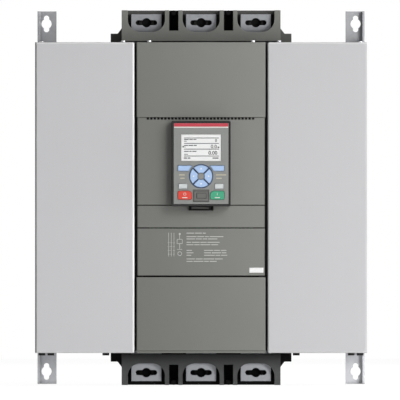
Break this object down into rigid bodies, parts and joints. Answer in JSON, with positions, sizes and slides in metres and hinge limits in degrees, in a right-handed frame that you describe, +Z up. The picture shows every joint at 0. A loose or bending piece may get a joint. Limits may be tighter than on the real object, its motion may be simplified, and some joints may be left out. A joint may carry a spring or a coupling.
{
  "type": "motor soft starter",
  "caption": "Wall-mounted motor soft starter with light grey side covers, an olive-grey front column, a detachable keypad and arched terminal pockets above and below.",
  "frame": {"origin": "centre of the four keyholes, on the plane of the wall", "axes": "+X to the right seen from the front, +Y towards the wall, +Z up; the front faces -Y"},
  "size_m": [0.435, 0.282, 0.493],
  "materials": {
    "galvanised_steel": "galvanised sheet, dull spangle",
    "cover_paint": "light grey powder coat, satin",
    "zinc_screw": "bright zinc plate",
    "black_plastic": "fine-grained moulding",
    "dark_moulding": "matt glass-filled moulding",
    "grey_moulding": "olive-grey moulding, fine grain",
    "tinned_bar": "tin-plated copper, satin",
    "iron": "laminated iron",
    "coil_wrap": "taped winding",
    "carrier_plastic": "thermoset moulding",
    "copper": "bare copper",
    "bare_aluminium": "bare extrusion",
    "module_plastic": "moulded case",
    "circuit_board": "lacquered board",
    "keypad_grey": "film-coated plate",
    "display_panel": "clear window over a light panel",
    "port_rubber": "soft flap",
    "blue_key": "satin key",
    "white_key": "satin key",
    "red_key": "satin key",
    "green_key": "satin key"
  },
  "bodies": {
    "chassis": {"back_plate": "galvanised_steel", "left_rail": "galvanised_steel", "right_rail": "galvanised_steel", "top_grille": "galvanised_steel", "fan_plate": "galvanised_steel", "support_posts": "galvanised_steel", "left_cover": "cover_paint", "right_cover": "cover_paint", "cover_screws": "zinc_screw", "bottom_clips": "black_plastic", "contactor_base": "dark_moulding", "upper_terminal_block": "grey_moulding", "lower_terminal_block": "grey_moulding", "line_bar_1": "tinned_bar", "line_bar_2": "tinned_bar", "line_bar_3": "tinned_bar", "load_bar_1": "tinned_bar", "load_bar_2": "tinned_bar", "load_bar_3": "tinned_bar", "current_transformers": "dark_moulding", "contactor_housing": "dark_moulding", "magnet_core": "iron", "coil": "coil_wrap", "heat_sink_1": "bare_aluminium", "heat_sink_2": "bare_aluminium", "heat_sink_3": "bare_aluminium", "thyristor_module_1": "module_plastic", "thyristor_module_2": "module_plastic", "thyristor_module_3": "module_plastic", "fan_frames": "black_plastic", "front_frame": "black_plastic", "control_board": "circuit_board", "top_cover": "grey_moulding", "keypad_panel": "grey_moulding", "middle_panel": "grey_moulding", "lower_panel": "grey_moulding", "bottom_cover": "grey_moulding"},
    "keypad": {"keypad_case": "black_plastic", "keypad_board": "circuit_board", "keypad_face": "keypad_grey", "display": "display_panel"},
    "contact_gear": {"armature": "iron", "contact_carrier": "carrier_plastic", "contact_bridges": "copper"},
    "latch": {"keypad_latch": "black_plastic"},
    "port_flap": {"port_cover": "port_rubber"},
    "rotor_1": {"fan_rotor_1": "black_plastic"},
    "rotor_2": {"fan_rotor_2": "black_plastic"},
    "rotor_3": {"fan_rotor_3": "black_plastic"},
    "left_soft_key": {"left_soft_key": "blue_key"},
    "right_soft_key": {"right_soft_key": "blue_key"},
    "up_key": {"up_key": "blue_key"},
    "down_key": {"down_key": "blue_key"},
    "left_key": {"left_key": "blue_key"},
    "right_key": {"right_key": "blue_key"},
    "info_key": {"info_key": "white_key"},
    "local_key": {"local_key": "white_key"},
    "stop_key": {"stop_key": "red_key"},
    "start_key": {"start_key": "green_key"}
  },
  "joints": [
    {"name": "keypad_pull", "type": "slide", "parent": "chassis", "child": "keypad", "axis": [0, -1, 0], "range_m": [0, 0.04]},
    {"name": "latch_press", "type": "slide", "parent": "chassis", "child": "latch", "axis": [0, 0, -1], "range_m": [0, 0.0025], "stiffness_N_per_m": 800},
    {"name": "port_flap_hinge", "type": "hinge", "parent": "keypad", "child": "port_flap", "pos_m": [0, -0.28, 0.0088], "axis": [-1, 0, 0], "range_deg": [0, 100]},
    {"name": "contact_close", "type": "slide", "parent": "chassis", "child": "contact_gear", "axis": [0, -1, 0], "range_m": [0, 0.0048], "stiffness_N_per_m": 3000, "springref_m": -0.004},
    {"name": "rotor_1_spin", "type": "hinge", "parent": "chassis", "child": "rotor_1", "pos_m": [-0.131, -0.048, -0.18], "axis": [0, 0, 1], "continuous": true},
    {"name": "rotor_2_spin", "type": "hinge", "parent": "chassis", "child": "rotor_2", "pos_m": [0, -0.048, -0.18], "axis": [0, 0, 1], "continuous": true},
    {"name": "rotor_3_spin", "type": "hinge", "parent": "chassis", "child": "rotor_3", "pos_m": [0.131, -0.048, -0.18], "axis": [0, 0, 1], "continuous": true},
    {"name": "left_soft_key_press", "type": "slide", "parent": "keypad", "child": "left_soft_key", "axis": [0, 1, 0], "range_m": [0, 0.001], "stiffness_N_per_m": 800},
    {"name": "right_soft_key_press", "type": "slide", "parent": "keypad", "child": "right_soft_key", "axis": [0, 1, 0], "range_m": [0, 0.001], "stiffness_N_per_m": 800},
    {"name": "up_key_press", "type": "slide", "parent": "keypad", "child": "up_key", "axis": [0, 1, 0], "range_m": [0, 0.001], "stiffness_N_per_m": 800},
    {"name": "down_key_press", "type": "slide", "parent": "keypad", "child": "down_key", "axis": [0, 1, 0], "range_m": [0, 0.001], "stiffness_N_per_m": 800},
    {"name": "left_key_press", "type": "slide", "parent": "keypad", "child": "left_key", "axis": [0, 1, 0], "range_m": [0, 0.001], "stiffness_N_per_m": 800},
    {"name": "right_key_press", "type": "slide", "parent": "keypad", "child": "right_key", "axis": [0, 1, 0], "range_m": [0, 0.001], "stiffness_N_per_m": 800},
    {"name": "info_key_press", "type": "slide", "parent": "keypad", "child": "info_key", "axis": [0, 1, 0], "range_m": [0, 0.001], "stiffness_N_per_m": 800},
    {"name": "local_key_press", "type": "slide", "parent": "keypad", "child": "local_key", "axis": [0, 1, 0], "range_m": [0, 0.001], "stiffness_N_per_m": 800},
    {"name": "stop_key_press", "type": "slide", "parent": "keypad", "child": "stop_key", "axis": [0, 1, 0], "range_m": [0, 0.001], "stiffness_N_per_m": 800},
    {"name": "start_key_press", "type": "slide", "parent": "keypad", "child": "start_key", "axis": [0, 1, 0], "range_m": [0, 0.001], "stiffness_N_per_m": 800}
  ]
}
